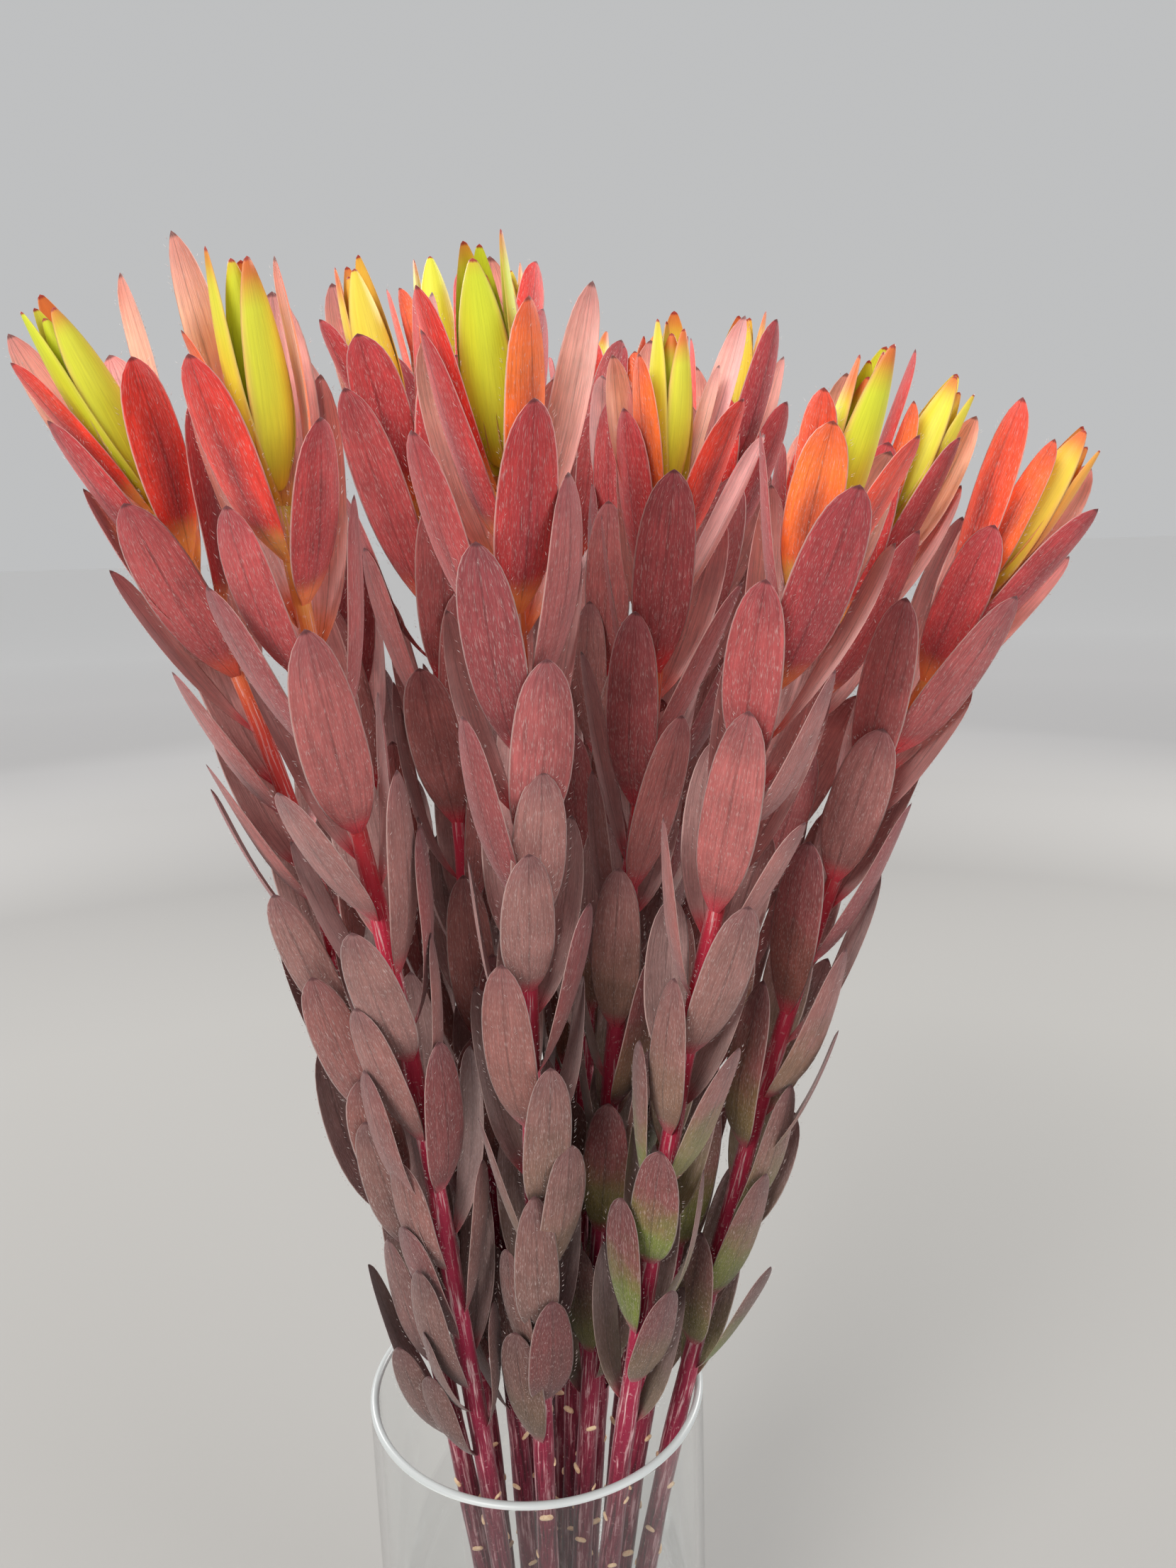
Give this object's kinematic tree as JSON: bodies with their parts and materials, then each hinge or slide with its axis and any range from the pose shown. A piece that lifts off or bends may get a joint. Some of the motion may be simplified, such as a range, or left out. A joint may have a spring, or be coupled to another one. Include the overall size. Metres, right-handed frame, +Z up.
{
  "type": "leucadendron bunch in a glass vase",
  "caption": "Cut leucadendron stems with red-brown leaves and yellow-green inner bracts, fanned out of a straight clear glass cylinder vase part filled with water.",
  "frame": {"origin": "centre of the vase's underside, where it stands", "axes": "+Z up along the vase's axis; -Y towards the side the picture was taken from; +X to the right as seen from there"},
  "size_m": [0.2972, 0.2956, 0.6089],
  "materials": {
    "glass": "gloss",
    "water": "gloss",
    "leaf": "satin",
    "bract": "satin"
  },
  "bodies": {
    "root": {"vase": "glass", "water": "water", "stem_01": "leaf", "stem_02": "leaf", "stem_03": "leaf", "stem_04": "leaf", "stem_05": "leaf", "stem_06": "leaf", "stem_07": "leaf", "stem_08": "leaf", "stem_09": "leaf", "stem_10": "leaf", "stem_11": "leaf", "stem_12": "leaf", "stem_13": "leaf", "stem_14": "leaf", "stem_15": "leaf", "bud_01": "bract", "bud_02": "bract", "bud_03": "bract", "bud_04": "bract", "bud_05": "bract", "bud_06": "bract", "bud_07": "bract", "bud_08": "bract", "bud_09": "bract", "bud_10": "bract", "bud_11": "bract", "bud_12": "bract", "bud_13": "bract", "bud_14": "bract", "bud_15": "bract"}
  },
  "joints": []
}
